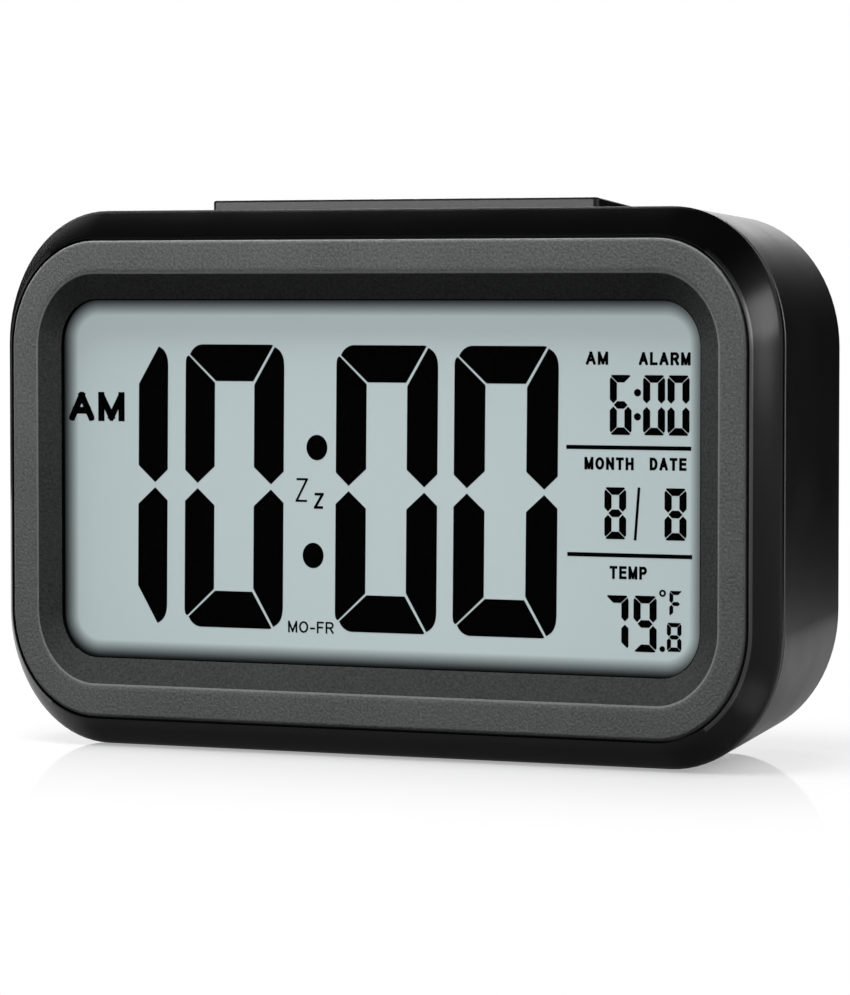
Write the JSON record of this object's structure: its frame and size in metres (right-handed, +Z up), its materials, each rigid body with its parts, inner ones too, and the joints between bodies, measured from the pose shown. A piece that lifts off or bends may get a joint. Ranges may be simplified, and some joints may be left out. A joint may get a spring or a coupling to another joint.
{
  "type": "digital table clock",
  "caption": "Battery table clock with a rounded case, a bezel ring round a liquid crystal display, a tipping snooze bar, rear buttons, slide switches and a hinged battery door.",
  "frame": {"origin": "middle of the bounding box in plan, on the surface the clock stands on", "axes": "+Z up, +X to the right as seen from the front, the display faces -Y"},
  "size_m": [0.128, 0.0448, 0.0846],
  "materials": {
    "case_black": "semi-gloss black",
    "shell_black": "satin black",
    "ring_grey": "fine spark texture, grey",
    "window_clear": "clear polished",
    "lcd_glass": "pale grey-green reflective display",
    "diffuser_white": "milky white",
    "led_body": "milky yellow-white",
    "rubber_black": "matte black",
    "board_green": "green solder mask",
    "epoxy_black": "moulded black",
    "steel_bright": "plated steel",
    "capacitor_sleeve": "sleeved aluminium can",
    "strip_grey": "grey",
    "cell_sleeve": "printed sleeve",
    "brass_plain": "plain",
    "wire_red": "insulated wire",
    "wire_black": "insulated wire",
    "ribbon_grey": "flat cable"
  },
  "bodies": {
    "case": {"front_housing": "case_black", "bezel_ring": "ring_grey", "display_lens": "window_clear", "lcd_panel": "lcd_glass", "display_holder": "case_black", "backlight_panel": "diffuser_white", "backlight_led_left": "led_body", "backlight_led_right": "led_body", "zebra_strip_lower": "rubber_black", "zebra_strip_upper": "rubber_black", "main_board": "board_green", "controller_blob": "epoxy_black", "quartz_crystal": "steel_bright", "buffer_capacitor": "capacitor_sleeve", "thermistor": "epoxy_black", "snooze_switch": "epoxy_black", "rear_housing": "shell_black", "rear_board": "board_green", "key_switch_1": "epoxy_black", "key_switch_2": "epoxy_black", "key_switch_3": "epoxy_black", "key_switch_4": "epoxy_black", "alarm_switch_body": "steel_bright", "light_switch_body": "steel_bright", "buzzer": "brass_plain", "battery_wire_plus": "wire_red", "battery_wire_minus": "wire_black", "ribbon_cable": "ribbon_grey", "battery_1": "cell_sleeve", "battery_2": "cell_sleeve", "battery_3": "cell_sleeve", "contact_spring_1": "steel_bright", "contact_spring_2": "steel_bright", "contact_spring_3": "steel_bright", "contact_plate_1": "steel_bright", "contact_plate_2": "steel_bright", "contact_plate_3": "steel_bright", "contact_plate_4": "steel_bright", "case_screw_1": "steel_bright", "case_screw_2": "steel_bright", "case_screw_3": "steel_bright", "case_screw_4": "steel_bright", "main_board_screw_1": "steel_bright", "main_board_screw_2": "steel_bright", "main_board_screw_3": "steel_bright", "main_board_screw_4": "steel_bright", "rear_board_screw_1": "steel_bright", "rear_board_screw_2": "steel_bright", "rear_foot_left": "rubber_black", "rear_foot_right": "rubber_black"},
    "bar": {"snooze_bar": "shell_black", "snooze_bar_strip": "strip_grey"},
    "button_1": {"rear_button_1": "shell_black"},
    "button_2": {"rear_button_2": "shell_black"},
    "button_3": {"rear_button_3": "shell_black"},
    "button_4": {"rear_button_4": "shell_black"},
    "alarm_slide": {"alarm_slider": "shell_black"},
    "light_slide": {"light_slider": "shell_black"},
    "door": {"battery_door": "shell_black"}
  },
  "joints": [
    {"name": "snooze_tip", "type": "hinge", "parent": "case", "child": "bar", "pos_m": [0, 0.01, 0.0809], "axis": [1, 0, 0], "range_deg": [0, 3.5], "stiffness_Nm_per_rad": 0.3, "springref_deg": -2.86},
    {"name": "button_1_press", "type": "slide", "parent": "case", "child": "button_1", "axis": [0, -1, 0], "range_m": [0, 0.0008], "stiffness_N_per_m": 800, "springref_m": -0.0005},
    {"name": "button_2_press", "type": "slide", "parent": "case", "child": "button_2", "axis": [0, -1, 0], "range_m": [0, 0.0008], "stiffness_N_per_m": 800, "springref_m": -0.0005},
    {"name": "button_3_press", "type": "slide", "parent": "case", "child": "button_3", "axis": [0, -1, 0], "range_m": [0, 0.0008], "stiffness_N_per_m": 800, "springref_m": -0.0005},
    {"name": "button_4_press", "type": "slide", "parent": "case", "child": "button_4", "axis": [0, -1, 0], "range_m": [0, 0.0008], "stiffness_N_per_m": 800, "springref_m": -0.0005},
    {"name": "alarm_switch_slide", "type": "slide", "parent": "case", "child": "alarm_slide", "axis": [1, 0, 0], "range_m": [0, 0.003]},
    {"name": "light_switch_slide", "type": "slide", "parent": "case", "child": "light_slide", "axis": [1, 0, 0], "range_m": [0, 0.003]},
    {"name": "battery_door_hinge", "type": "hinge", "parent": "case", "child": "door", "pos_m": [0, 0.0202, 0.0095], "axis": [-1, 0, 0], "range_deg": [0, 75]}
  ]
}
